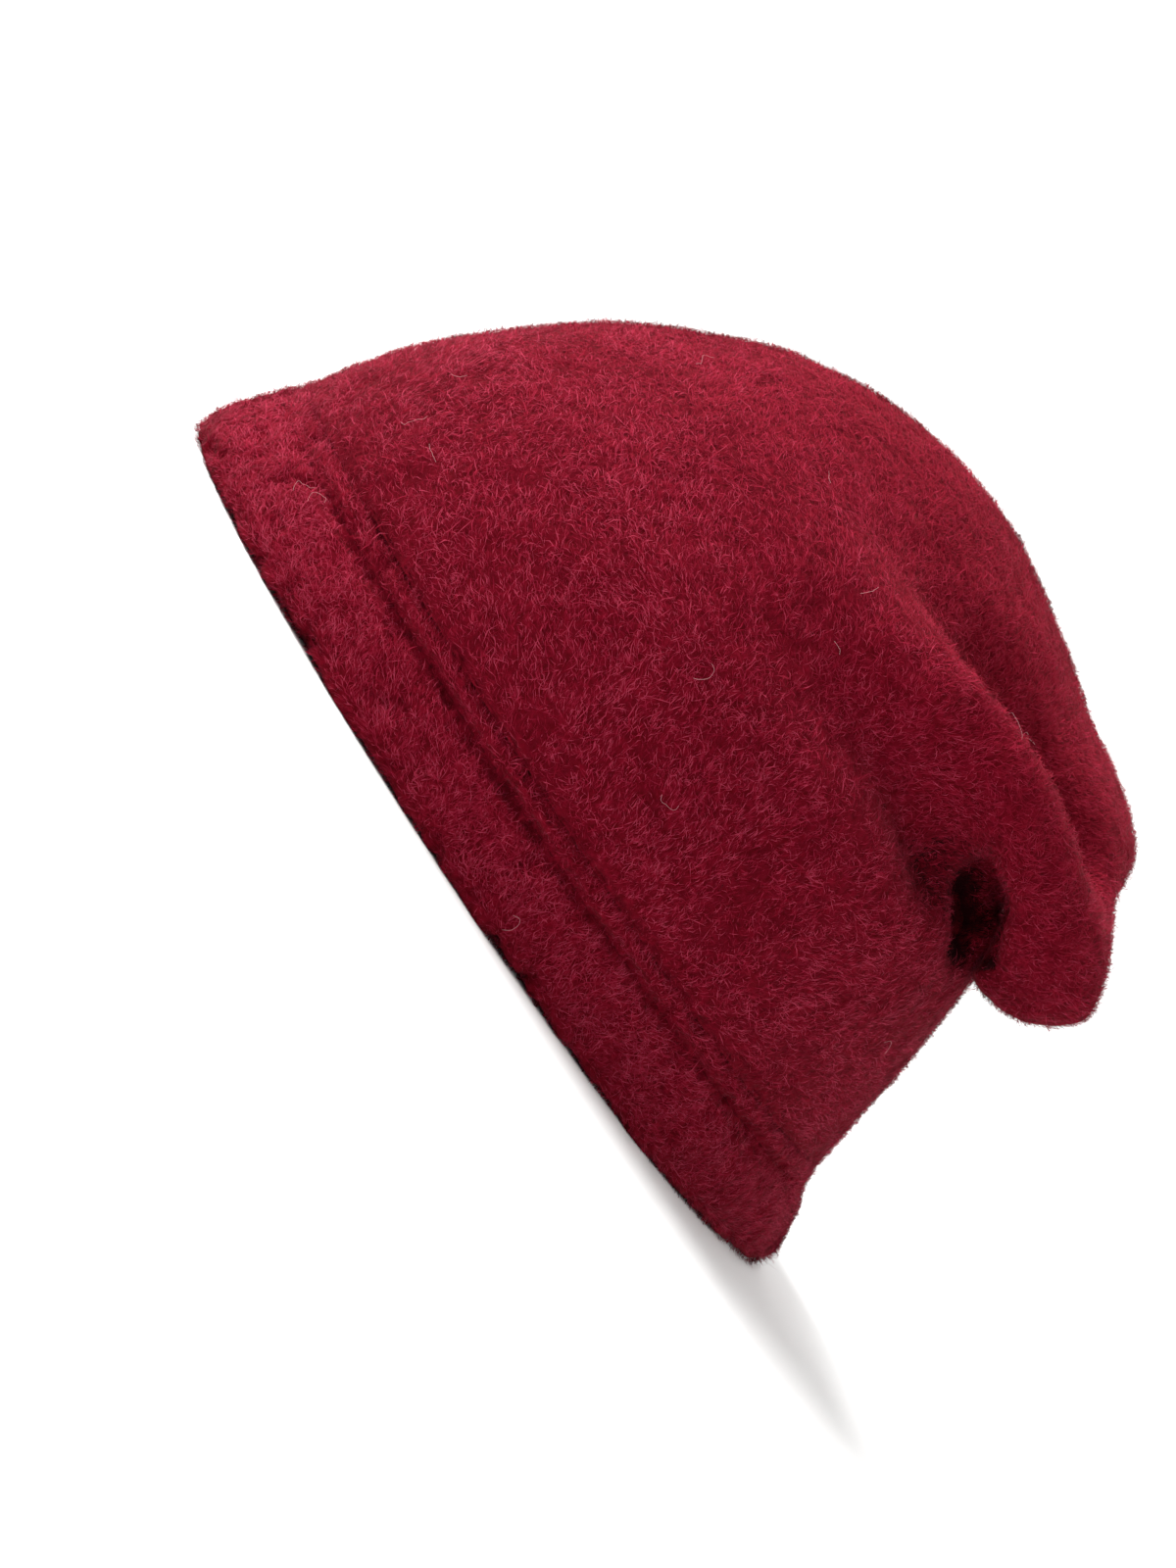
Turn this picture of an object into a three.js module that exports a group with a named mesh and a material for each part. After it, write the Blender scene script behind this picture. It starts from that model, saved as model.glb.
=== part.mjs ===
// A slouchy beanie of thick boiled wool: a hollow crown whose spare length flops over the back in
// three soft lobes, on a hem of the wool turned in double. Millimetres, +Z up, the rim lying in the
// plane Z = 0, the front towards -Y and the wearer's left towards +X.
import * as THREE from "three";
import { mergeVertices } from "three/addons/utils/BufferGeometryUtils.js";

// Driving sizes
const clothThickness = 3.0; // one layer of the wool
const hemThickness = 6.4; // two layers, stitched together
const hemHeight = 25.7;
const crownBase = hemHeight + 0.3; // the crown's lower edge, just clear of the hem's top
const rim = { front: -118.5, side: 80, back: 117 }; // the lower edge, which the hem flares out to
const slouchEnd = { length: 15, inset: 0.2 }; // the round end, and how much narrower it closes
const woolColor = 0x74192a;

// How finely it is faceted
const pointsAround = 64; // a multiple of 4
const ringsPerSection = 2;
const endRings = 4; // rings over the round end
const softenRounds = 3; // how often each face of the slouch is softened
const softenShare = 0.5; // how far a point then moves towards its neighbours' mean

// Sections of the crown, from the hem to the end of the slouch. Each is a closed ring drawn through
// a point on the line over the top, one on the line along each side and one on the line up the back.
// boxy turns it from an ellipse (0) into a flat pouch with round sides (1), and lobe is how much
// thicker it grows towards its sides.
const sections = [
  // name, topY, topZ, sideX, sideY, sideZ, backY, backZ, boxy, lobe
  ["above the hem", -111.7, crownBase, 80, -2, crownBase, 104, crownBase, 0, 0],
  ["forehead", -108, 45, 81.5, 0, 48, 98.5, 42, 0, 0],
  ["temples", -100.5, 65, 80, 4, 67, 93, 58, 0, 0],
  ["over the ears", -88, 88, 76, 12, 83, 87.5, 71, 0, 0],
  ["mouth of the fold", -68, 112, 71, 23, 94, 79, 82, 0.1, 0],
  ["bottom of the fold", -44, 131.5, 66, 36, 97, 69, 91, 0.3, 0],
  ["under the slouch", -12, 142, 63, 48, 97, 66, 99, 0.6, 0.1],
  ["inside of the lobes", 20, 140.8, 62, 58, 94, 68, 105, 0.8, 0.2],
  ["middle of the slouch", 46, 135.3, 60, 67, 89, 72, 109, 0.9, 0.4],
  ["back of the slouch", 69, 133, 58, 76, 86, 76, 111, 1, 0.8],
];

// Folds and lobes, the same on both sides. Each pulls the cloth by dx (outwards), dy and dz, most at
// the place x to the side and along the crown, above (1) or below (-1) its sides or on both (0).
const folds = [
  // name, face, x, spreadX, along, spreadAlong, dx, dy, dz
  ["side hollow", -1, 64, 14, 0.46, 0.1, -4, -5, 0],
  ["pocket", -1, 55, 14, 0.62, 0.11, 0, -15, 6],
  ["valley, upper end", 1, 42, 14, 0.68, 0.12, 0, -2, -10],
  ["valley, middle", 1, 36, 11, 0.88, 0.14, 0, -2, -10],
  ["valley, lower end", 0, 28, 14, 1.08, 0.16, 0, -8, 0],
  ["side roll", 1, 54, 10, 0.88, 0.14, 0, 0, 7],
  ["centre ridge", 1, 16, 8, 0.74, 0.12, 0, 0, 2],
  ["lobe, inner face", -1, 59, 9, 0.9, 0.14, 0, -9, -4],
  ["lobe, underside", -1, 52, 13, 1.02, 0.16, 0, 0, -6],
  ["lobe, end", 0, 50, 13, 1.1, 0.12, 0, -2.5, 1],
];
const endSpan = 0.12; // what the round end adds to a fold's place along the crown

// The hem's cross-section, from the rim up its outer face and down its inner one. share is how much
// of the flare it has there, and inset how far it lies inside the outline.
const hemProfile = [
  // name, z, share, inset
  ["rim, outer edge", 0, 0.92, 2.0],
  ["rim, round", 2.2, 0.98, 0.3],
  ["face, lower", 6, 1, 0],
  ["face, upper", 14, 0.65, 0],
  ["stitched groove", 20, 0.26, 0.6],
  ["between the rows", 23, 0.1, 0.1],
  ["top, outer edge", hemHeight, 0, 0.5],
  ["top, inner edge", hemHeight, 0, hemThickness],
  ["inner face", 12, 0.65, hemThickness + 0.2],
  ["rim, inner round", 2.5, 0.98, hemThickness - 0.2],
  ["rim, inner edge", 0, 0.92, hemThickness - 2.0],
];

const { lerp, smoothstep } = THREE.MathUtils;
const power = (value, exponent) => Math.sign(value) * Math.abs(value) ** exponent;
const steps = Array.from({ length: pointsAround }, (_, step) => step);
const turn = (step) => (2 * Math.PI * step) / pointsAround;
const overTheEnd = (step) => (1.5 * pointsAround - step) % pointsAround; // the step it meets there

// A smooth curve through three columns of the sections, where column 0 stands for a zero.
const guide = (...columns) =>
  new THREE.CatmullRomCurve3(
    sections.map((row) => new THREE.Vector3(...columns.map((column) => column && row[column]))),
  );
const topLine = guide(0, 1, 2);
const sideLine = guide(3, 4, 5);
const backLine = guide(0, 6, 7);
const boxyAndLobe = guide(8, 9, 0);

// A point of the crown's outer face. along runs from 0 at the hem to 1 where the round end starts,
// around turns from the top line by the wearer's left (a quarter turn) to the back line (half), and
// closing turns from 0 to a quarter turn over the round end.
function crownPoint(along, around, closing) {
  const top = topLine.getPoint(along);
  const side = sideLine.getPoint(along);
  const back = backLine.getPoint(along);
  const { x: boxy, y: lobe } = boxyAndLobe.getPoint(along);
  const exponent = lerp(1, 0.6, boxy);
  const reach = power(Math.sin(around), exponent) * (1 - slouchEnd.inset * (1 - Math.cos(closing)));
  const thickness = 1 + lobe * reach * reach;
  const depth = power(Math.cos(around), exponent) * thickness * Math.cos(closing);

  // the ring sags from its middle to its sides, and its thickness leans out with the sag
  const middle = top.clone().lerp(back, 0.5);
  const sag = side.clone().sub(middle).multiplyScalar(reach * reach);
  const half = top.clone().sub(back).multiplyScalar(0.5 * depth);
  const lean = boxy * Math.atan((2 * (middle.z - side.z) * reach) / side.x);
  const point = new THREE.Vector3(
    side.x * reach + half.z * Math.sin(lean),
    middle.y + sag.y + half.y + slouchEnd.length * thickness * Math.sin(closing),
    middle.z + sag.z + half.z * Math.cos(lean),
  );

  const place = along + (endSpan * closing) / (Math.PI / 2);
  const outer = Math.cos(around) * Math.cos(closing);
  for (const [, face, x, spreadX, at, spreadAlong, dx, dy, dz] of folds) {
    const offX = (Math.abs(side.x * reach) - x) / spreadX;
    const offAlong = (place - at) / spreadAlong;
    const onFace = face ? smoothstep(face * outer, -0.5, 0.5) : 1;
    const weight = Math.exp(-offX * offX - offAlong * offAlong) * onFace;
    point.add(new THREE.Vector3(Math.sign(reach) * dx, dy, dz).multiplyScalar(weight));
  }
  return point;
}

// The crown's outer face as rings of points. The last ring is its closing line, where the points
// over the top meet those from below.
function crownRings() {
  const lofted = (sections.length - 1) * ringsPerSection;
  return Array.from({ length: lofted + endRings + 1 }, (_, ring) => {
    const along = Math.min(1, ring / lofted);
    const closing = (Math.max(0, ring - lofted) / endRings) * (Math.PI / 2);
    return steps.map((step) => crownPoint(along, turn(step), closing));
  });
}

// Moves each point of the slouch towards the mean of its four neighbours, as thick wool rounds its
// folds. Past the closing line its neighbours are those of the other face.
function soften(rings) {
  const end = rings.length - 1;
  const at = (ring, step) =>
    ring > end
      ? rings[2 * end - ring][overTheEnd(step)]
      : rings[ring][(step + pointsAround) % pointsAround];
  return rings.map((points, ring) => {
    const amount = softenShare * smoothstep(ring / end, 0.3, 0.6); // none up to the slouch
    if (amount === 0) return points;
    return points.map((point, step) => {
      const mean = at(ring + 1, step).clone();
      mean.add(at(ring - 1, step)).add(at(ring, step + 1)).add(at(ring, step - 1));
      return point.clone().lerp(mean.multiplyScalar(0.25), amount);
    });
  });
}

function softened(rings) {
  for (let round = 0; round < softenRounds; round++) rings = soften(rings);
  return rings;
}

// Two triangles for each step between two rings of indices, alike on the left and the right.
function band(index, lower, upper) {
  for (const step of steps) {
    const next = (step + 1) % pointsAround;
    const [a, b, c, d] = [lower[step], lower[next], upper[next], upper[step]];
    index.push(...(step < pointsAround / 2 ? [a, b, d, b, c, d] : [a, b, c, a, c, d]));
  }
}

const ringIndices = (ring) => steps.map((step) => ring * pointsAround + step);

function geometryOf(points, index) {
  const geometry = new THREE.BufferGeometry().setFromPoints(points);
  geometry.setIndex(index);
  return geometry;
}

// The crown: its outer face, an inner face one thickness inside it, and the flat lower edge.
function crownGeometry() {
  const outer = softened(crownRings());
  const indices = outer.map((_, ring) => ringIndices(ring));
  const closingLine = indices.pop();
  indices.push(steps.map((step) => closingLine[Math.min(step, overTheEnd(step))]));
  const index = [];
  for (let ring = 1; ring < outer.length; ring++) band(index, indices[ring - 1], indices[ring]);
  const sheet = geometryOf(outer.flat(), index);
  sheet.computeVertexNormals();

  const { normal } = sheet.attributes;
  const offset = outer.map((points, ring) =>
    points.map((point, step) => {
      const outwards = new THREE.Vector3().fromBufferAttribute(normal, indices[ring][step]);
      if (ring === 0) outwards.setZ(0).normalize();
      return point.clone().addScaledVector(outwards, -clothThickness);
    }),
  );
  const inner = softened(offset);
  const toInner = (i) => i + outer.length * pointsAround;
  const wall = [...index, ...index.map(toInner).reverse()];
  band(wall, indices[0].map(toInner), indices[0]);
  return mergeVertices(geometryOf([...outer.flat(), ...inner.flat()], wall));
}

// The hem: the crown's lowest ring carried down and flared to the rim.
function hemGeometry() {
  const [, topY, , sideX, sideY, , backY] = sections[0];
  const points = [];
  for (const [, z, share, inset] of hemProfile) {
    const front = lerp(topY, rim.front, share);
    const side = lerp(sideX, rim.side, share);
    const back = lerp(backY, rim.back, share);
    const middle = (front + back) / 2;
    const length = (back - front) / 2;
    for (const step of steps) {
      const sine = Math.sin(turn(step));
      const cosine = Math.cos(turn(step));
      const outwards = new THREE.Vector2(sine / side, -cosine / length).normalize();
      const y = middle + (sideY - middle) * sine * sine - length * cosine;
      points.push(new THREE.Vector3(side * sine - inset * outwards.x, y - inset * outwards.y, z));
    }
  }
  const index = [];
  hemProfile.forEach((_, row) => {
    band(index, ringIndices(row), ringIndices((row + 1) % hemProfile.length));
  });
  return geometryOf(points, index);
}

function woolPiece(name, geometry) {
  const wool = new THREE.MeshStandardMaterial({ color: woolColor, roughness: 0.95, metalness: 0 });
  const mesh = new THREE.Mesh(geometry, wool);
  mesh.name = name;
  return mesh;
}

const beanie = new THREE.Group();
beanie.add(woolPiece("crown", crownGeometry()), woolPiece("hem", hemGeometry()));
beanie.position.y = -(rim.front + rim.back) / 2; // the origin under the middle of the rim

export default beanie;
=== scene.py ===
# A slouchy beanie of thick, fuzzy boiled wool in deep red, standing on its rim.
# Metres, +Z up, the front of the hat towards -Y and the wearer's left towards +X.
import math

import bmesh
import bpy
import numpy as np
from mathutils import Matrix, Vector, noise
from mathutils.bvhtree import BVHTree


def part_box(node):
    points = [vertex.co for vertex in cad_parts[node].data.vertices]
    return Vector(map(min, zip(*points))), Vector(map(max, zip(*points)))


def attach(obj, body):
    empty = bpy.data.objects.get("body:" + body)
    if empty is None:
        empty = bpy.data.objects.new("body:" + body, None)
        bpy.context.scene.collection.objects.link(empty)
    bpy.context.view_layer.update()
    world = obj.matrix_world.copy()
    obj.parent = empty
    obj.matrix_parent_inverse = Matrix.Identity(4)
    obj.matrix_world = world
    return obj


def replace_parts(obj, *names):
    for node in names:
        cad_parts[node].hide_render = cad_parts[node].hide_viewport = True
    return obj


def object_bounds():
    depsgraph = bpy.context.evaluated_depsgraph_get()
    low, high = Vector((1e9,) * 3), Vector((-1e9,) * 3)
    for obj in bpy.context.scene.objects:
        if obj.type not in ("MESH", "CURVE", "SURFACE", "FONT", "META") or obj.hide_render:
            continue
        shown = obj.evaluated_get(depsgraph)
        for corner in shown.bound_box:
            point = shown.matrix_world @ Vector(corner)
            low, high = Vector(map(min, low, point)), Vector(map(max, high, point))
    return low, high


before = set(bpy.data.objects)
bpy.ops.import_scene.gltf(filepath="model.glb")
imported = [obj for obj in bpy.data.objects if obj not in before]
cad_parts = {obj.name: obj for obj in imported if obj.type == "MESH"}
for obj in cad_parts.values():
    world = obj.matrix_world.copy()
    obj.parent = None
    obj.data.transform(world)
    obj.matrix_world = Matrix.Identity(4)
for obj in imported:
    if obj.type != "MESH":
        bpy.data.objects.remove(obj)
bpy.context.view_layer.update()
scene = bpy.context.scene
mm = 0.001
floorGap = 0.1 * mm  # the wool stays this far above the floor
aboveAll = 1.0  # a height above the whole hat


view = {
    "tilt": math.radians(57),  # how far the hat's up leans over in the picture
    "elevation": math.radians(11),
    "turn": math.radians(2),  # from square on the wearer's left, towards the front
    "distance": 600 * mm,
    "lens": 59.4,
    "offCentre": (-0.039, -0.0261),  # where the rim's middle lies, as slopes right and up
    "rimMiddle": Vector((0, 0.75 * mm, 0)),
}

leftSide, back, up = Vector((1, 0, 0)), Vector((0, 1, 0)), Vector((0, 0, 1))
leaning = up * math.cos(view["tilt"]) - back * math.sin(view["tilt"])
across = -back * math.cos(view["tilt"]) - up * math.sin(view["tilt"])
level = leftSide * math.cos(view["turn"]) + across * math.sin(view["turn"])
towards = level * math.cos(view["elevation"]) + leaning * math.sin(view["elevation"])
rightward = leftSide * math.sin(view["turn"]) - across * math.cos(view["turn"])
upward = towards.cross(rightward).normalized()


def addCamera():
    camera = bpy.data.objects.new("camera", bpy.data.cameras.new("camera"))
    scene.collection.objects.link(camera)
    camera.data.lens = view["lens"]
    camera.data.clip_start, camera.data.clip_end = 0.01, 20
    aside, above = view["offCentre"]
    place = (towards - rightward * aside - upward * above) * view["distance"]
    axes = Matrix((rightward, upward, towards)).transposed().to_4x4()
    camera.matrix_world = Matrix.Translation(place + view["rimMiddle"]) @ axes
    scene.camera = camera


addCamera()


# An output socket. Sums and products of it add Math nodes, and node() adds any other.
class Wire:
    def __init__(self, socket):
        self.socket = socket

    def node(self, kind, settings, sockets, output=0):
        tree = self.socket.id_data
        made = tree.nodes.new("ShaderNode" + kind)
        for name, value in settings.items():
            if name == "stops":
                ramp = made.color_ramp
                while len(ramp.elements) < len(value):
                    ramp.elements.new(1)
                for element, (position, color) in zip(ramp.elements, value):
                    element.position, element.color = position, (*color, 1)
            else:
                setattr(made, name, value)
        for name, value in sockets.items():
            if isinstance(value, Wire):
                tree.links.new(value.socket, made.inputs[name])
            else:
                made.inputs[name].default_value = value
        return Wire(made.outputs[output])

    def math(self, operation, *values):
        return self.node("Math", {"operation": operation}, dict(enumerate(values)))

    def __add__(self, other):
        return self.math("ADD", self, other)

    def __mul__(self, other):
        return self.math("MULTIPLY", self, other)

    __radd__, __rmul__ = __add__, __mul__


wool = {  # shades of the dyed wool, with painted shade for its pits and folds, as linear colours, and its finish
    # painted shade for the felt's lowest pits
    "shadow": (0.085, 0.001, 0.0045),
    "felt": (0.16, 0.0025, 0.011),
    "nap": {
        "napShadow": (0.012, 0.0002, 0.0008),  # painted shadow, deep in a fold
        "napDeep": (0.12, 0.0017, 0.008),
        "napRed": (0.19, 0.0045, 0.015),
        "napBright": (0.255, 0.01, 0.029),
        "napPale": (0.33, 0.026, 0.054),
    },
    "thread": (0.09, 0.0015, 0.006),
    "lint": (0.5, 0.24, 0.26),
    "finish": {
        "Roughness": 0.95,
        "Sheen Weight": 0.05,
        "Sheen Roughness": 0.5,
        "Sheen Tint": (1.0, 0.3, 0.35, 1),
        "Specular IOR Level": 0.05,
    },
}


def newMaterial(name, color):
    material = bpy.data.materials.new(name)
    material.use_nodes = True
    shader = material.node_tree.nodes["Principled BSDF"]
    shader.inputs["Base Color"].default_value = (*color, 1)
    for socket, value in wool["finish"].items():
        shader.inputs[socket].default_value = value
    return material


felt = {
    "tufts": 0.6,  # how much each pattern adds to the height of the relief
    "curls": 0.5,
    "cells": -0.35,
    # painted shade: the colour darkens from the tufts' tops down to the low pits
    "stops": [(0.25, wool["shadow"]), (0.52, wool["felt"]), (0.8, wool["nap"]["napRed"])],
    "strength": 0.9,
}


# The felted ground under the nap: tufts a few millimetres wide with dark pits between them, the
# pits' darkness and the folds' dark being painted shade.
def feltMaterial(name, tuft, pit, relief):
    material = newMaterial(name, wool["felt"])
    tree = material.node_tree
    shader = tree.nodes["Principled BSDF"]
    place = Wire(tree.nodes.new("ShaderNodeTexCoord").outputs["Object"])
    spots = {"Vector": place, "Scale": 1 / tuft, "Detail": 4, "Roughness": 0.65}
    tufts = place.node("TexNoise", {}, spots, "Fac")
    fine = {"Vector": place, "Scale": 1 / pit, "Detail": 2, "Roughness": 0.6}
    curls = place.node("TexNoise", {}, fine, "Fac")
    spread = {"Vector": place, "Scale": 0.8 / pit, "Randomness": 1.0}
    cells = place.node("TexVoronoi", {}, spread, "Distance")
    height = tufts * felt["tufts"] + curls * felt["curls"] + cells * felt["cells"]
    color = height.node("ValToRGB", {"stops": felt["stops"]}, {"Fac": height})
    # painted shade: the felt turns towards napShadow where a fold's painted shade lies
    deep = place.node("Attribute", {"attribute_name": "deep"}, {}, "Fac")
    darkest = (*wool["nap"]["napShadow"], 1)
    shaded = place.node("Mix", {"data_type": "RGBA"}, {0: deep, 6: color, 7: darkest}, 2)
    tree.links.new(shaded.socket, shader.inputs["Base Color"])
    sockets = {"Height": height, "Strength": felt["strength"], "Distance": relief}
    bumps = height.node("Bump", {}, sockets)
    tree.links.new(bumps.socket, shader.inputs["Normal"])
    return material


crownFelt = feltMaterial("crown felt", tuft=5 * mm, pit=1.4 * mm, relief=1.0 * mm)
hemFelt = feltMaterial("hem felt", tuft=4 * mm, pit=1.6 * mm, relief=1.2 * mm)
insideFelt = feltMaterial("inside felt", tuft=6 * mm, pit=1.2 * mm, relief=0.5 * mm)
napMaterials = [newMaterial(name, color) for name, color in wool["nap"].items()]
threadMaterial = newMaterial("stitching", wool["thread"])
lintMaterial = newMaterial("loose hairs", wool["lint"])
print("materials ready")


# A piece of wool that belongs to the part.
def newPiece(name, mesh, materials=()):
    piece = bpy.data.objects.new(name, mesh)
    scene.collection.objects.link(piece)
    for material in materials:
        mesh.materials.append(material)
    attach(piece, "root")
    return piece


# A merged copy of a CAD solid in quads, cut at some heights to keep its edges firm.
def quadCopy(node, heights):
    shell = bmesh.new()
    shell.from_mesh(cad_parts[node].data)
    bmesh.ops.remove_doubles(shell, verts=shell.verts, dist=0.001 * mm)
    anyAngle = {"angle_face_threshold": math.pi, "angle_shape_threshold": math.pi}
    bmesh.ops.join_triangles(shell, faces=shell.faces, **anyAngle)
    for height in heights:
        everything = [*shell.verts, *shell.edges, *shell.faces]
        plane = {"plane_co": (0, 0, height), "plane_no": (0, 0, 1)}
        bmesh.ops.bisect_plane(shell, geom=everything, dist=0.01 * mm, **plane)
    return shell


# Puts the faces on the hollow's side of the flat edge faces on material 1.
def markInside(shell, isEdge):
    edgeFaces = {face for face in shell.faces if isEdge(face)}
    beside = {f for face in edgeFaces for e in face.edges for f in e.link_faces} - edgeFaces
    reached = [f for f in beside if f.normal.dot(f.calc_center_median() * Vector((1, 1, 0))) < 0]
    inside = set(reached)
    while reached:
        for edge in reached.pop().edges:
            for face in edge.link_faces:
                if face not in inside and face not in edgeFaces:
                    inside.add(face)
                    reached.append(face)
    for face in inside:
        face.material_index = 1


# A subdivided mesh of a shell, which it uses up.
def smoothed(shell, name, levels, materials):
    rough = bpy.data.objects.new(name, bpy.data.meshes.new(name + "Cage"))
    shell.to_mesh(rough.data)
    shell.free()
    for material in materials:
        rough.data.materials.append(material)
    scene.collection.objects.link(rough)
    rough.modifiers.new("smooth", "SUBSURF").levels = levels
    fine = rough.evaluated_get(bpy.context.evaluated_depsgraph_get())
    mesh = bpy.data.meshes.new_from_object(fine)
    bpy.data.objects.remove(rough)
    return mesh


# One property of many items, as an array with a row for each.
def column(items, name, width=3, kind=np.float32):
    values = np.empty(len(items) * width, kind)
    items.foreach_get(name, values)
    return values.reshape(-1, width) if width > 1 else values


def noiseAt(points, size):
    return np.array([noise.noise(p) for p in points / size])


# 1 where a vertex is on the outer face and 0 where it is inside.
def outerShare(mesh):
    outer = np.zeros(len(mesh.vertices))
    for polygon in mesh.polygons:
        if polygon.material_index == 0:
            outer[list(polygon.vertices)] = 1
    return outer


# Moves each point along its normal by a height of its own, but not into the floor.
def push(mesh, points, normals, height):
    points = points + normals * height[:, None]
    points[:, 2] = np.maximum(points[:, 2], floorGap)
    mesh.vertices.foreach_set("co", points.astype(np.float32).ravel())
    mesh.update()


# Swells both faces of the cloth out, or sinks them, around each place of a fold and its mirror
# image.
def foldMore(mesh, folds):
    points, normals = column(mesh.vertices, "co"), column(mesh.vertices, "normal")
    folded = np.abs(points * [1, 0, 0]) + points * [0, 1, 1]
    height = np.zeros(len(points))
    for x, y, z, spread, rise in folds:
        away = np.linalg.norm(folded / mm - (x, y, z), axis=1) / spread
        height += rise * mm * np.exp(-(away**2))
    push(mesh, points, normals, height * (2 * outerShare(mesh) - 1))


pits = {"size": 5 * mm, "from": 0.2, "to": 0.55}  # the noise that they start and end at


# How deep in a pit between the tufts a point lies, from 0 to 1.
def pitAt(points):
    return np.interp(-noiseAt(points, pits["size"]), (pits["from"], pits["to"]), (0, 1))


# Moves the outer face alone: a little inwards, to leave room for the nap, then out and in with
# soft waves, small pits and the sewn grooves.
def roughen(mesh, look):
    points, normals = column(mesh.vertices, "co"), column(mesh.vertices, "normal")
    height = grooveAt(points) - look["inset"] - look["pits"] * pitAt(points)
    fromSeam = np.clip(np.abs(points[:, 2] - hemTop) / look["firm"], 0, 1)
    for size, rise in look["waves"]:
        height += rise * noiseAt(points, size) * fromSeam
    push(mesh, points, normals, height * outerShare(mesh))
    mesh.shade_smooth()


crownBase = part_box("crown")[0].z
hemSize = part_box("hem")[1]
hemTop = hemSize.z
grooves = {
    "heights": [20 * mm, (hemTop + crownBase) / 2],
    "depths": [1.9 * mm, 0.9 * mm],
    "shades": [1.2, 0.8],  # how much each shortens the nap and darkens it, as painted shade
    "halfWidth": 1.5 * mm,
    "wander": (9 * mm, 0.7 * mm),  # how far they stray up and down
    "uneven": (5 * mm, 0.9),  # how unevenly deep they are
    "ends": -0.4,  # how much of them is left at the very front and back, where they fill up
    "fillUp": 3,  # how quickly they do so
    "stitches": 168,  # in each row
    "holes": (0.7, 1.3),  # how deep they are between the needle holes and at them
}


# The angle round the hem, in turns that are nearly even along it.
def turnOf(points):
    return np.arctan2(points[:, 1] / hemSize.y, points[:, 0] / hemSize.x)


# How near a point is to a sewn row, from 0 to 1.
def inGroove(points, depths):
    size, stray = grooves["wander"]
    strayed = points[:, 2] + stray * noiseAt(points * [1, 1, 0.2], size)
    aside = np.clip(grooves["fillUp"] * (1 - np.abs(points[:, 1]) / hemSize.y), 0, 1)
    share = grooves["ends"] + (1 - grooves["ends"]) * aside
    size, uneven = grooves["uneven"]
    share *= 1 + uneven * noiseAt(points, size)
    away = [(strayed - height) / grooves["halfWidth"] for height in grooves["heights"]]
    return share * sum(depth * np.exp(-(row**2)) for row, depth in zip(away, depths))


# The grooves' floor, deeper at each needle hole.
def grooveAt(points):
    holes = 0.5 + 0.5 * np.cos(turnOf(points) * grooves["stitches"])
    between, at = grooves["holes"]
    return -inGroove(points, grooves["depths"]) * (between + (at - between) * holes**2)


crown = {
    "levels": 2,
    "rings": [0.5 * mm, 1.4 * mm, 2.6 * mm],  # above the lower edge, to keep it firm
    "tongue": (0.65 * mm, 1.6 * mm),  # the edge narrows by this and runs this far into the hem
    "inset": 0.7 * mm,
    "pits": 0.4 * mm,
    "firm": 6 * mm,  # the waves fade out this close to the seam
    "waves": [(28 * mm, 0.9 * mm), (9 * mm, 0.5 * mm), (4 * mm, 0.3 * mm)],
    "folds": [
        # x, y, z, spread, rise, all in mm
        (62, -2, 106, 7, 0.8),  # along the side roll
        (62, 10, 110, 7, 1.4),
        (61, 21, 111, 7, 2.0),
        (62, 32, 112, 7, 2.0),
        (61, 43, 111, 7, 2.0),
        (60, 54, 110, 7, 1.5),
        (58, 63, 107, 7, 1.6),
        (54, 72, 103, 7, 1.2),
        (67, 2, 101, 8, 1.2),  # and its flank
        (65, 14, 103, 8, 2.5),
        (65, 30, 103, 8, 3.0),
        (64, 44, 102, 8, 3.0),
        (63, 57, 99, 8, 1.8),
        (54, -20, 117, 10, -1.5),  # along the valley behind it
        (53, -8, 118, 10, -3.0),
        (52, 4, 118, 9, -4.0),
        (50, 16, 118, 9, -5.5),
        (48, 28, 117, 9, -6.0),
        (47, 40, 116, 9, -6.0),
        (47, 51, 115, 9, -5.5),
        (45, 60, 115, 8, -4.5),
        (43, 68, 113, 7, -4.0),
        (75, -10, 85, 12, -2.0),  # the hollow under the roll
        (74, 3, 86, 10, -3.5),
        (73, 14, 87, 9, -4.5),
        (71, 25, 88, 9, -5.5),
        (69, 35, 86, 8, -6.0),
        (65, 46, 84, 8, -6.0),
        (55, 54, 91, 6, -3.0),  # the pocket
        (53, 59, 88, 6, -5.0),
        (52, 65, 83, 5, -6.0),
        (41, 69, 87, 6, 3.6),  # and the cloth that closes it behind
        (52, 88, 92, 11, 1.5),  # the end of the lobe
    ],
    "paintedShadeSpots": [
        # painted shade in the pocket and the hollow: x, y, z, spread, all in mm, and how dark
        (53, 59, 89, 4.8, 1.5),
        (51, 63, 85, 5, 1.5),
        (52, 67, 81, 4, 1.5),
        (64, 47, 85, 10, 0.4),
    ],
}


# How deep in a fold's painted shade a point lies, from 0 to 1.
def paintedShadeAt(points):
    folded = np.abs(points * [1, 0, 0]) + points * [0, 1, 1]
    deep = np.zeros(len(points))
    for x, y, z, spread, strength in crown["paintedShadeSpots"]:
        away = np.linalg.norm(folded / mm - (x, y, z), axis=1) / spread
        deep = np.maximum(deep, strength * np.exp(-(away**2)))
    return deep


# Keeps that painted shade on the mesh, from before its folds move.
def markPaintedShade(mesh):
    deep = paintedShadeAt(column(mesh.vertices, "co"))
    mesh.attributes.new("deep", "FLOAT", "POINT").data.foreach_set("value", deep)


def isCrownEdge(face):
    return max(vert.co.z for vert in face.verts) < crownBase + 0.1 * mm


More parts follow.
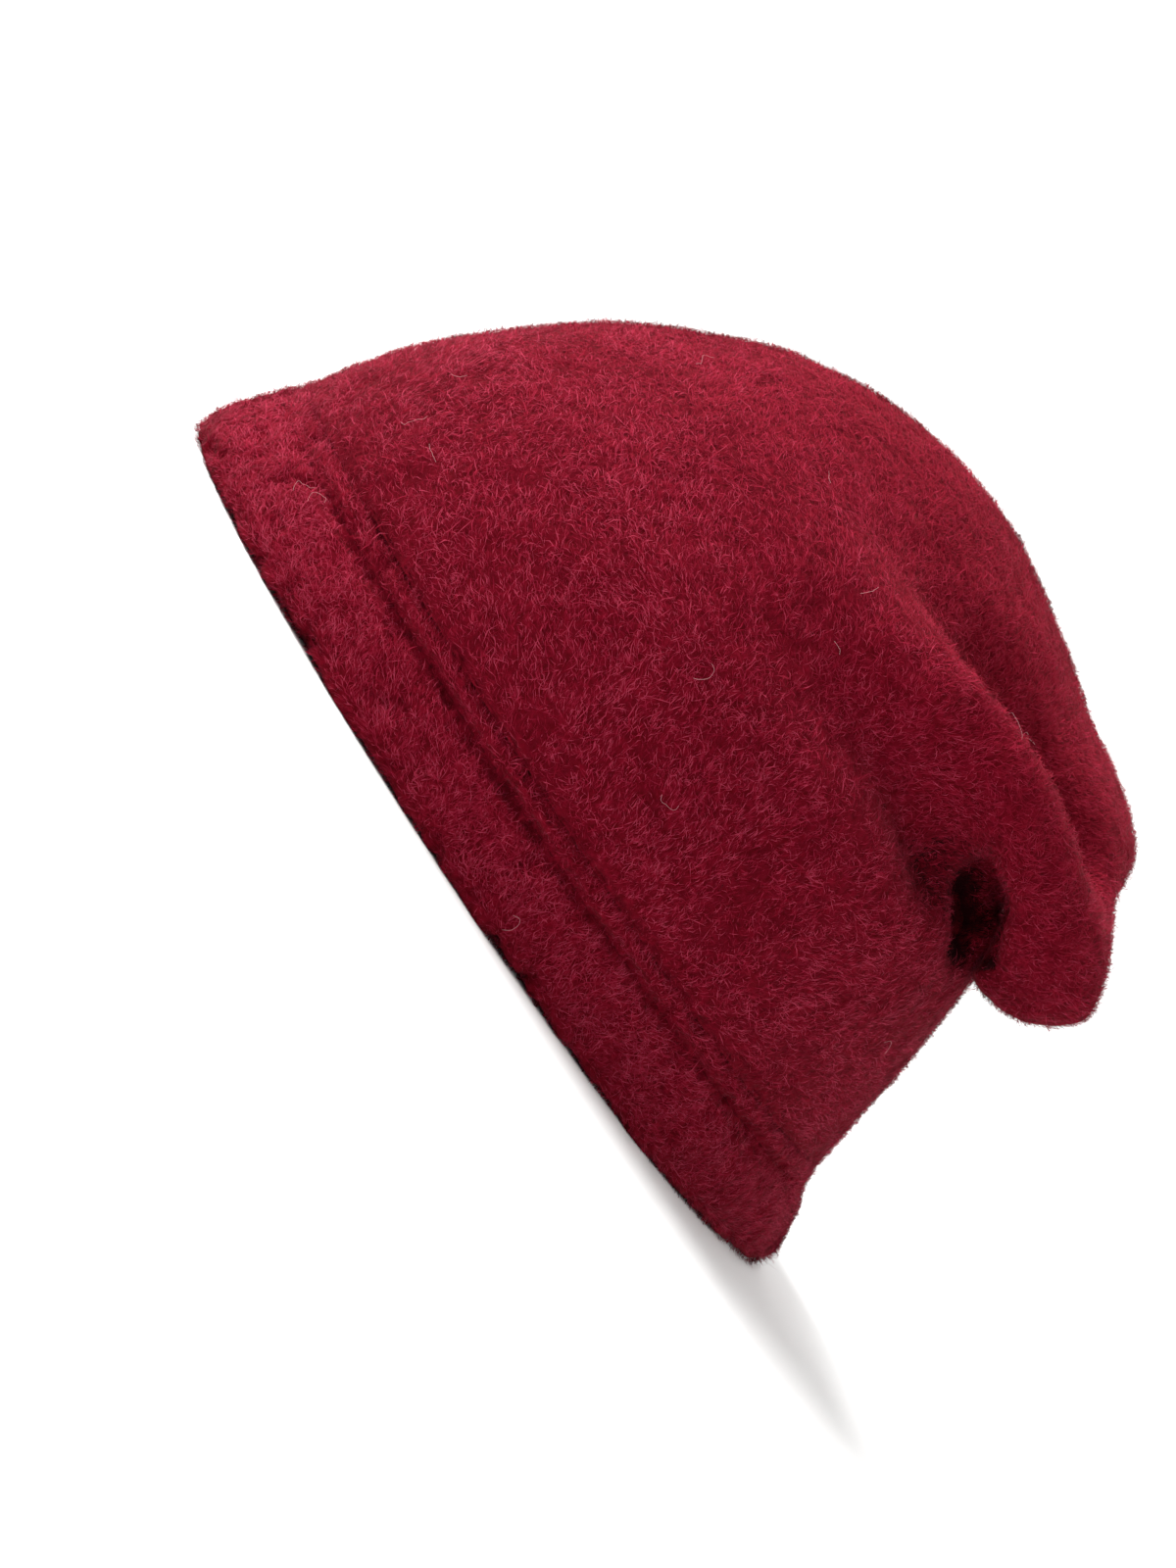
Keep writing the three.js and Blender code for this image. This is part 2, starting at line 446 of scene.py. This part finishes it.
crownShell = quadCopy("crown", [crownBase + ring for ring in crown["rings"]])
crownEdge = [face for face in crownShell.faces if isCrownEdge(face)]
narrower, longer = crown["tongue"]
bmesh.ops.inset_region(crownShell, faces=crownEdge, thickness=narrower, use_even_offset=True)
tongue = list({vert for face in crownEdge for vert in face.verts})
bmesh.ops.translate(crownShell, verts=tongue, vec=-up * longer)
markInside(crownShell, isCrownEdge)
crownMesh = smoothed(crownShell, "woolCrown", crown["levels"], [crownFelt, insideFelt])
markPaintedShade(crownMesh)
foldMore(crownMesh, crown["folds"])
roughen(crownMesh, crown)
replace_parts(newPiece("woolCrown", crownMesh), "crown")
print("crown:", len(crownMesh.polygons), "quads")

hem = {
    "levels": 2,
    "rings": [17.6 * mm, 18.8 * mm, 20 * mm, 21.2 * mm, 22.4 * mm, 24.4 * mm, 25.3 * mm],
    "inset": 0.7 * mm,
    "pits": 1.3 * mm,
    "firm": 6 * mm,
    "waves": [(24 * mm, 1.0 * mm), (8 * mm, 0.7 * mm), (3.5 * mm, 0.45 * mm)],
    "ripple": (26 * mm, 0.2 * mm, 9 * mm),  # the rim leaves the floor by this, fading upwards
    "closer": (24 * mm, 1.0 * mm),  # above this height it rises by this to meet the crown
    "fullness": (2.2 * mm, 2.8 * mm),  # the outer edge bulges by this, below this height
    "fullnessEnds": 0.25,  # how much of that is left at the front and back
    "ends": (0.7, 0.95),  # where it fades, as shares of the way there
}


# Fills the rim out and lifts it off the floor here and there, as soft wool does.
def softenRim(mesh):
    points, normals = column(mesh.vertices, "co"), column(mesh.vertices, "normal")
    bulge, height = hem["fullness"]
    low = np.clip(1 - points[:, 2] / height, 0, 1)
    steepness = np.linalg.norm(normals[:, :2], axis=1)
    fullness = bulge * low * outerShare(mesh) / np.maximum(steepness, 0.4)
    endwards = np.abs(points[:, 1]) / hemSize.y
    fullness *= np.interp(endwards, hem["ends"], (1, hem["fullnessEnds"]))
    points[:, :2] += normals[:, :2] * fullness[:, None]
    points[:, 2] -= hem["inset"] * low
    size, rise, fade = hem["ripple"]
    share = np.clip(0.5 + noiseAt(points * [1, 1, 0], size), 0, 1)
    points[:, 2] += rise * share * np.clip(1 - points[:, 2] / fade, 0, 1)
    start, raised = hem["closer"]
    points[:, 2] += raised * np.clip((points[:, 2] - start) / (hemTop - start), 0, 1)
    points[:, 2] = np.maximum(points[:, 2], floorGap)
    mesh.vertices.foreach_set("co", points.ravel())
    mesh.update()


# Whether an edge runs along the hem, level and at an even distance from its middle.
def runsRound(edge):
    first, second = (v.co * Vector((1 / hemSize.x, 1 / hemSize.y, 0)) for v in edge.verts)
    sameHeight = abs(edge.verts[0].co.z - edge.verts[1].co.z) < 0.01 * mm
    return sameHeight and abs(first.length - second.length) < 0.015


hemShell = quadCopy("hem", hem["rings"])
roundEdges = [edge for edge in hemShell.edges if runsRound(edge)]
bmesh.ops.subdivide_edges(hemShell, edges=roundEdges, cuts=1, use_grid_fill=True)
markInside(hemShell, lambda face: abs(face.normal.z) > 0.8)
hemMesh = smoothed(hemShell, "woolHem", hem["levels"], [hemFelt, insideFelt])
markPaintedShade(hemMesh)
roughen(hemMesh, hem)
softenRim(hemMesh)
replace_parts(newPiece("woolHem", hemMesh), "hem")
print("hem:", len(hemMesh.polygons), "quads")


nap = {
    "seed": 7,
    "length": 2.3 * mm,
    "spread": 0.3,  # of the lengths
    "width": 0.17 * mm,
    "lift": (8, 34),  # degrees that a fibre leaves the felt at
    "drop": (-14, 14),  # degrees that its outer half still rises at
    "bend": 0.6,  # radians that its outer half turns aside
    "knee": 0.55,  # how far along a fibre its outer half starts
    "widths": (0.8, 1.3),
    "clump": 3 * mm,
    "longer": 0.4,  # how much longer it is in a clump
    "lays": [(0, -0.8, 0.55), (0, 0.55, 0.84)],  # forwards over the crown, back over the slouch
    "turns": (-30 * mm, 50 * mm),  # and where it turns from one to the other
    "swirls": [(26 * mm, 0.8), (6 * mm, 0.7)],
    "loose": 0.6,  # how much each fibre strays on its own
    "facing": 0.3,  # how far its normals stray from the felt's
    "downwards": -0.2,  # the lowest that they point
    "stray": 0.1,  # the share of finer fibres that stand up
    "strayLift": (30, 75),
    "finer": 0.5,
    "inGroove": 0.5,  # how much shorter it is in a sewn row, and darker, as painted shade
    "rim": (4 * mm, 1.6),  # below this height it hangs down, by this much
    "lowest": 0.2 * mm,
}
shading = {  # what makes a fibre brighter or darker than the others
    "clumps": 0.22,
    "patches": (22 * mm, 0.15),
    "alone": 0.3,
    "stray": 0.3,
    # painted shade: darker in the felt's pits
    "pit": -0.3,
    "calm": (60 * mm, 125 * mm, 0.75),  # this much more even from the lower height to the upper
    "deep": (0.15, 0.6),  # the painted fold shade that a fibre turns darkest from
}
crownNap = {
    "fibres": 280000,
    "pieces": ["napLow", "napMiddle", "napTop", "napCrest"],
    "shares": (0, 0.3, 0.34, 0.26, 0.1),  # how much of the nap each shade takes
    "between": (crownBase - 0.3 * mm, aboveAll),
}
hemNap = {
    "fibres": 84000,
    "pieces": ["napHem"],
    # lighter than the crown's shares: painted light on the hem
    "shares": (0, 0.16, 0.3, 0.35, 0.19),
    "between": (0.9 * mm, hemTop),
}
napRandom = np.random.default_rng(nap["seed"])
noise.seed_set(nap["seed"])


def unit(vectors):
    return vectors / np.linalg.norm(vectors, axis=-1, keepdims=True)


# Random places on the outer felt between two heights, and the normals and painted fold shade
# there.
def scatter(mesh, count, between):
    mesh.calc_loop_triangles()
    deep = column(mesh.attributes["deep"].data, "value", 1)
    corners = column(mesh.loop_triangles, "vertices", 3, np.int32)
    inside = column(mesh.loop_triangles, "material_index", 1, np.int32)
    points, normals = column(mesh.vertices, "co"), column(mesh.vertices, "normal")
    a, b, c = points[corners].transpose(1, 0, 2)
    area = np.linalg.norm(np.cross(b - a, c - a), axis=1)
    height = (a + b + c)[:, 2] / 3
    area[(inside == 1) | (height < between[0]) | (height > between[1])] = 0
    chosen = corners[napRandom.choice(len(corners), count, p=area / area.sum())]
    shares = napRandom.dirichlet((1, 1, 1), count)[:, :, None]
    place, normal = (points[chosen] * shares).sum(1), unit((normals[chosen] * shares).sum(1))
    return place, normal, (deep[chosen] * shares[:, :, 0]).sum(1)


# The way the nap lies along the felt, with swirls in it.
def layOf(points, normals):
    share = np.interp(points[:, 1:2], nap["turns"], (0, 1))
    crownLay, slouchLay = np.array(nap["lays"])
    lay = crownLay * (1 - share) + slouchLay * share
    for size, strength in nap["swirls"]:
        lay = lay + strength * np.array([noise.noise_vector(p) for p in points / size])
    lay += nap["loose"] * napRandom.normal(size=points.shape)
    return unit(lay - normals * (lay * normals).sum(1, keepdims=True))


# A shade for each fibre, from 0 for the darkest. Pits, sewn rows and folds turn it darker, as
# painted shade. The others take their shares of the nap.
def shadesOf(points, clumps, stray, sewn, deep, shares):
    size, strength = shading["patches"]
    brightness = shading["clumps"] * clumps + strength * noiseAt(points, size)
    brightness += napRandom.normal(0, shading["alone"], len(points))
    brightness += shading["stray"] * stray + shading["pit"] * pitAt(points)
    lower, upper, calm = shading["calm"]
    brightness *= 1 - calm * np.interp(points[:, 2], (lower, upper), (0, 1))
    # painted shade: darker in the sewn rows
    brightness -= sewn
    rank = brightness.argsort().argsort() / len(points)
    shades = np.searchsorted(np.cumsum(shares)[:-1], rank, side="right")
    # painted shadow: fibres deep in a fold's painted shade take the darkest shade
    shades[deep > napRandom.uniform(*shading["deep"], len(points))] = 0
    return shades


# Four corners for each fibre: its root, two at its middle and its tip. Also the way that each
# faces, and its shade.
def growFibres(points, normals, deep, shares):
    count = len(points)
    clumps = noiseAt(points, nap["clump"])
    lay = layOf(points, normals)
    aside = np.cross(normals, lay)
    lift, drop = (
        np.radians(napRandom.uniform(*nap[name], count))[:, None] for name in ("lift", "drop")
    )
    bend = napRandom.normal(0, nap["bend"], count)[:, None]
    length = nap["length"] * np.exp(napRandom.normal(0, nap["spread"], count))
    sewn = nap["inGroove"] * inGroove(points, grooves["shades"])
    length *= (1 + nap["longer"] * clumps) * (1 - sewn)
    stray = napRandom.random(count) < nap["stray"]
    lift[stray, 0] = np.radians(napRandom.uniform(*nap["strayLift"], stray.sum()))
    height, strength = nap["rim"]
    hanging = np.array([0, 0, strength]) * np.clip(1 - points[:, 2:] / height, 0, 1)
    rising = unit(lay * np.cos(lift) + normals * np.sin(lift) - hanging)
    falling = (lay * np.cos(bend) + aside * np.sin(bend)) * np.cos(drop) + normals * np.sin(drop)
    falling = unit(falling - hanging)
    half = aside * nap["width"] / 2 * napRandom.uniform(*nap["widths"], count)[:, None]
    half[stray] *= nap["finer"]
    middle = points + rising * (nap["knee"] * length)[:, None]
    tip = middle + falling * ((1 - nap["knee"]) * length)[:, None]
    fibres = np.stack([points, middle + half, middle - half, tip], 1)
    fibres[:, :, 2] = np.maximum(fibres[:, :, 2], nap["lowest"])
    shades = shadesOf(points, clumps, stray, sewn, deep, shares)
    upright = normals * [1, 1, 0] + np.maximum(normals, nap["downwards"]) * [0, 0, 1]
    facing = unit(upright[:, None] + nap["facing"] * napRandom.normal(size=fibres.shape))
    return fibres, facing, shades


# Two triangles for each fibre: its lower half, and the half that ends in its tip.
def fibreMesh(name, fibres, facing, shades):
    mesh = bpy.data.meshes.new(name)
    first = np.arange(len(fibres))[:, None]
    mesh.vertices.add(4 * len(fibres))
    mesh.vertices.foreach_set("co", fibres.astype(np.float32).ravel())
    mesh.loops.add(6 * len(fibres))
    mesh.loops.foreach_set("vertex_index", (first * 4 + [0, 2, 1, 1, 2, 3]).ravel())
    mesh.polygons.add(2 * len(fibres))
    mesh.polygons.foreach_set("loop_start", (first * 6 + [0, 3]).ravel())
    mesh.polygons.foreach_set("material_index", np.repeat(shades, 2))
    mesh.update(calc_edges=True)
    mesh.normals_split_custom_set_from_vertices(facing.reshape(-1, 3))
    return mesh


# Grows one part's nap, as pieces from its lowest fibres to its highest.
def growNap(mesh, look):
    points, normals, deep = scatter(mesh, look["fibres"], look["between"])
    fibres, facing, shades = growFibres(points, normals, deep, look["shares"])
    upwards = points[:, 2].argsort()
    for name, part in zip(look["pieces"], np.array_split(upwards, len(look["pieces"]))):
        mesh = fibreMesh(name, fibres[part], facing[part], shades[part])
        newPiece(name, mesh, napMaterials)
        print(name + ":", len(part), "fibres")


growNap(crownMesh, crownNap)
growNap(hemMesh, hemNap)


# One piece of round threads, each drawn smoothly along its points.
def threadPiece(name, strands, thickness, material):
    curve = bpy.data.curves.new(name, "CURVE")
    curve.dimensions = "3D"
    curve.bevel_depth, curve.bevel_resolution, curve.resolution_u = thickness / 2, 1, 3
    for points in strands:
        strand = curve.splines.new("NURBS")
        strand.points.add(len(points) - 1)
        for spot, point in zip(strand.points, points):
            spot.co = (*point, 1)
        strand.use_endpoint_u, strand.order_u = True, 3
    drawn = bpy.data.objects.new(name, curve)
    scene.collection.objects.link(drawn)
    fine = drawn.evaluated_get(bpy.context.evaluated_depsgraph_get())
    mesh = bpy.data.meshes.new_from_object(fine)
    bpy.data.objects.remove(drawn)
    mesh.shade_smooth()
    return newPiece(name, mesh, [material])


stitching = {
    "rows": [grooves["heights"][0], hemTop - 0.3 * mm],
    "thickness": 0.5 * mm,
    "share": 0.66,  # of its pitch that a stitch shows on
    # how far along a stitch and how far above the wool, so that its ends dive in
    "profile": [(-0.5, -0.8 * mm), (-0.42, 0), (0, 0.1 * mm), (0.42, 0), (0.5, -0.8 * mm)],
}
hemTree = BVHTree.FromPolygons(
    [v.co for v in hemMesh.vertices], [p.vertices for p in hemMesh.polygons]
)


# The point at an angle round the hem and a height, this far above the wool.
def onHem(turn, height, above):
    outwards = Vector((hemSize.x * math.cos(turn), hemSize.y * math.sin(turn), 0))
    start = outwards * 1.3 + up * height  # well outside the hem
    place = hemTree.ray_cast(start, -outwards)[0]
    return place + outwards.normalized() * above


# The points of each stitch in the row at a height.
def stitchRow(height):
    pitch = 2 * math.pi / grooves["stitches"]
    for number in range(grooves["stitches"]):
        middle = (number + 0.5) * pitch
        yield [
            onHem(middle + along * pitch * stitching["share"], height, above)
            for along, above in stitching["profile"]
        ]


stitches = [stitch for height in stitching["rows"] for stitch in stitchRow(height)]
threadPiece("hemStitching", stitches, stitching["thickness"], threadMaterial)
print("stitches:", len(stitches))

looseHairs = {
    "seed": 3,
    "thickness": 0.06 * mm,
    "points": 9,
    "above": 1.3 * mm,
    "wander": 0.35,  # how much it sways from point to point
    "bob": 0.4,  # and rises and falls with that
    "turn": 0.6,  # radians that a full curl turns at each point
    # name, x, y, z, length, curl
    "placed": [
        ("brow lint", 46, -92, 19, 7, 0.5),
        ("brow lint, lower", 50, -88, 18, 6, 0.6),
        ("brow hair", 42, -91, 46, 6, 0.2),
        ("hem curl", 80, 0, 7, 6, 0.9),
        ("ridge hair", 64, -14, 101, 5, 0.4),
        ("slouch hair", 56, 20, 115, 6, 0.3),
        ("slouch hair, longer", 58, 25, 115, 8, 0.2),
        ("slouch curl", 60, 31, 114, 6, 0.6),
        ("lobe hair", 41, 53, 116, 6, 0.3),
    ],
    "scattered": 26,
    "lengths": (3, 7),
    "curls": (0, 0.6),
}
hairRandom = np.random.default_rng(looseHairs["seed"])
crownTree = BVHTree.FromPolygons(
    [v.co for v in crownMesh.vertices], [p.vertices for p in crownMesh.polygons]
)


# A wandering hair that starts near a place and stays just above the wool.
def looseHair(place, length, curl):
    near = [tree.find_nearest(place) for tree in (crownTree, hemTree)]
    spot, normal = min(near, key=lambda found: found[3])[:2]
    heading = Vector(hairRandom.normal(size=3)).cross(normal).normalized()
    step = length / (looseHairs["points"] - 1)
    turning = curl * hairRandom.choice([-1, 1])
    hair = []
    for number in range(looseHairs["points"]):
        sway = hairRandom.normal(0, looseHairs["wander"])
        hair.append(spot + normal * looseHairs["above"] * (1 + looseHairs["bob"] * sway))
        heading = Matrix.Rotation(turning * looseHairs["turn"] + sway, 3, normal) @ heading
        spot = spot + heading * step
        near = [tree.find_nearest(spot) for tree in (crownTree, hemTree)]
        spot, normal = min(near, key=lambda found: found[3])[:2]
        heading = (heading - normal * heading.dot(normal)).normalized()
    return hair


hairs = [
    looseHair(Vector((x, y, z)) * mm, length * mm, curl)
    for name, x, y, z, length, curl in looseHairs["placed"]
]
for spot in scatter(crownMesh, looseHairs["scattered"], (crownBase, aboveAll))[0]:
    length, curl = (hairRandom.uniform(*looseHairs[name]) for name in ("lengths", "curls"))
    hairs.append(looseHair(Vector(spot), length * mm, curl))
threadPiece("looseHairs", hairs, looseHairs["thickness"], lintMaterial)
print("loose hairs:", len(hairs))


studio = {
    "floor": 1.5,  # radius of the flat floor
    "sweep": 1.0,  # radius of the curve up to the backdrop
    "wall": 1.4,  # height of the backdrop above the curve
    "steps": (12, 72),  # up the curve and round the floor
    "pale": (0.85, 0.85, 0.845),
    "roughness": 0.9,
    "sky": 0.08,
    "distance": 1.6,  # from the middle of the hat to its lamps
    "lamps": [
        # name, how far rightward, upward and towards the camera, size, power
        ("key", 0.32, 1, 0.03, 1.0, 55),
        ("side", 1, -0.35, 0.05, 1.2, 9),
    ],
}


# A pale floor that curves up into a backdrop all round.
def addBackdrop():
    bowl = bmesh.new()
    profile = [Vector((0, 0, 0)), Vector((studio["floor"], 0, 0))]
    upwards, around = studio["steps"]
    for step in range(1, upwards + 1):
        angle = step / upwards * math.pi / 2
        curve = Vector((math.sin(angle), 0, 1 - math.cos(angle))) * studio["sweep"]
        profile.append(profile[1] + curve)
    profile.append(profile[-1] + up * studio["wall"])
    line = [bowl.verts.new(point) for point in profile]
    edges = [bowl.edges.new(pair) for pair in zip(line, line[1:])]
    spin = {"cent": (0, 0, 0), "axis": (0, 0, 1), "angle": 2 * math.pi, "steps": around}
    bmesh.ops.spin(bowl, geom=[*line, *edges], use_merge=True, **spin)
    bmesh.ops.remove_doubles(bowl, verts=bowl.verts, dist=0.1 * mm)
    bmesh.ops.recalc_face_normals(bowl, faces=bowl.faces)
    bmesh.ops.reverse_faces(bowl, faces=bowl.faces)
    mesh = bpy.data.meshes.new("backdrop")
    bowl.to_mesh(mesh)
    bowl.free()
    mesh.shade_smooth()
    material = bpy.data.materials.new("pale floor")
    material.use_nodes = True
    shader = material.node_tree.nodes["Principled BSDF"]
    shader.inputs["Base Color"].default_value = (*studio["pale"], 1)
    shader.inputs["Roughness"].default_value = studio["roughness"]
    mesh.materials.append(material)
    backdrop = bpy.data.objects.new("backdrop", mesh)
    scene.collection.objects.link(backdrop)


# A square lamp that points at a target.
def addLamp(name, place, target, size, power):
    lamp = bpy.data.objects.new(name, bpy.data.lights.new(name, "AREA"))
    scene.collection.objects.link(lamp)
    lamp.data.size, lamp.data.energy = size, power
    lamp.location = place
    lamp.rotation_euler = (place - target).to_track_quat("Z", "Y").to_euler()


lowest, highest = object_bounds()
hatMiddle = (lowest + highest) / 2
addBackdrop()
for name, aside, above, nearer, size, power in studio["lamps"]:
    direction = (rightward * aside + upward * above + towards * nearer).normalized()
    addLamp(name, direction * studio["distance"], hatMiddle, size, power)
addLamp("backdrop lamp", Vector((-0.5, -0.3, 1.3)), Vector((-2.2, 0.3, 0.3)), 1.0, 34)
world = bpy.data.worlds.new("studio")
world.use_nodes = True
world.node_tree.nodes["Background"].inputs["Color"].default_value = (1, 1, 1, 1)
world.node_tree.nodes["Background"].inputs["Strength"].default_value = studio["sky"]
scene.world = world
scene.view_settings.view_transform = "Standard"
